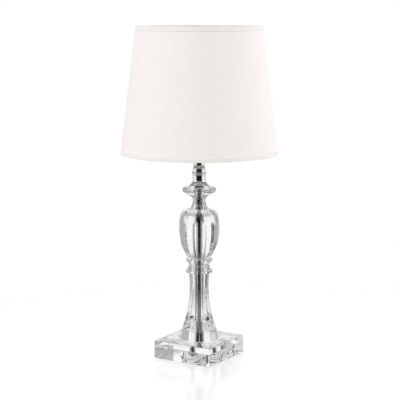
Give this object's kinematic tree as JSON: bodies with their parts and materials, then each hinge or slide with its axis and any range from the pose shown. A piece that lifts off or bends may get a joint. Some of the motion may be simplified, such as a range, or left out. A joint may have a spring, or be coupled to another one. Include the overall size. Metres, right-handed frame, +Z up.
{
  "type": "table lamp",
  "caption": "Candlestick table lamp: stacked cut glass column, urn and dish on a square glass base, chrome neck and a tapered white fabric drum shade.",
  "frame": {"origin": "on the table, under the middle of the square base", "axes": "+Z up along the rod, X and Y along the base's sides, the cord's inlet in the +Y side"},
  "size_m": [0.2493, 0.2492, 0.5331],
  "materials": {
    "crystal": "polished clear cut glass",
    "clear_vinyl": "clear soft vinyl, satin",
    "chrome": "polished",
    "zinc_steel": "zinc plated",
    "white_steel": "white enamel, satin",
    "white_plastic": "moulded, satin",
    "dark_plastic": "moulded, satin",
    "insulator": "matte ceramic white",
    "brass": "satin",
    "bulb_metal": "satin",
    "opal_glass": "opal white, satin",
    "slub_fabric": "white slub weave, matte",
    "trim_tape": "white woven tape, matte",
    "shade_lining": "white lining sheet, matte"
  },
  "bodies": {
    "stand": {"base_block": "crystal", "base_plate": "crystal", "column": "crystal", "collar": "crystal", "urn": "crystal", "neck_cone": "crystal", "neck_disc": "crystal", "dish": "crystal", "foot_pads": "clear_vinyl", "foot_gasket": "clear_vinyl", "collar_gasket": "clear_vinyl", "urn_gasket": "clear_vinyl", "neck_gasket": "clear_vinyl", "dish_gasket": "clear_vinyl", "cord_grommet": "clear_vinyl", "recess_cover": "clear_vinyl", "neck_cap": "chrome", "neck_ring": "chrome", "neck_sleeve": "chrome", "threaded_tube": "zinc_steel", "clamp_washer": "zinc_steel", "spring_washer": "zinc_steel", "clamp_nut": "zinc_steel", "stack_washer": "zinc_steel", "stack_nut": "zinc_steel", "holder_cap": "white_plastic", "holder_skirt": "white_plastic", "holder_insert": "insulator", "screw_shell": "brass", "centre_contact": "brass", "terminal_screws": "brass"},
    "switch_bar": {"push_bar": "dark_plastic"},
    "shade_ring": {"shade_ring": "white_plastic"},
    "shade": {"shade_spider": "white_steel", "shade_bottom_ring": "white_steel", "shade_top_ring": "white_steel", "shade_liner": "shade_lining", "shade_fabric": "slub_fabric", "shade_bottom_trim": "trim_tape", "shade_top_trim": "trim_tape"},
    "bulb": {"bulb_contact": "bulb_metal", "bulb_insulator": "insulator", "bulb_cap": "bulb_metal", "bulb_envelope": "opal_glass"}
  },
  "joints": [
    {"name": "switch_push", "type": "slide", "parent": "stand", "child": "switch_bar", "axis": [1, 0, 0], "range_m": [0, 0.006]},
    {"name": "shade_lift", "type": "slide", "parent": "stand", "child": "shade_ring", "axis": [0, 0, 1], "range_m": [0, 0.13]},
    {"name": "shade_turn", "type": "hinge", "parent": "shade_ring", "child": "shade", "pos_m": [0, 0, 0.351], "axis": [0, 0, 1], "continuous": true},
    {"name": "bulb_lift", "type": "slide", "parent": "stand", "child": "bulb", "axis": [0, 0, 1], "range_m": [0, 0.19]}
  ]
}
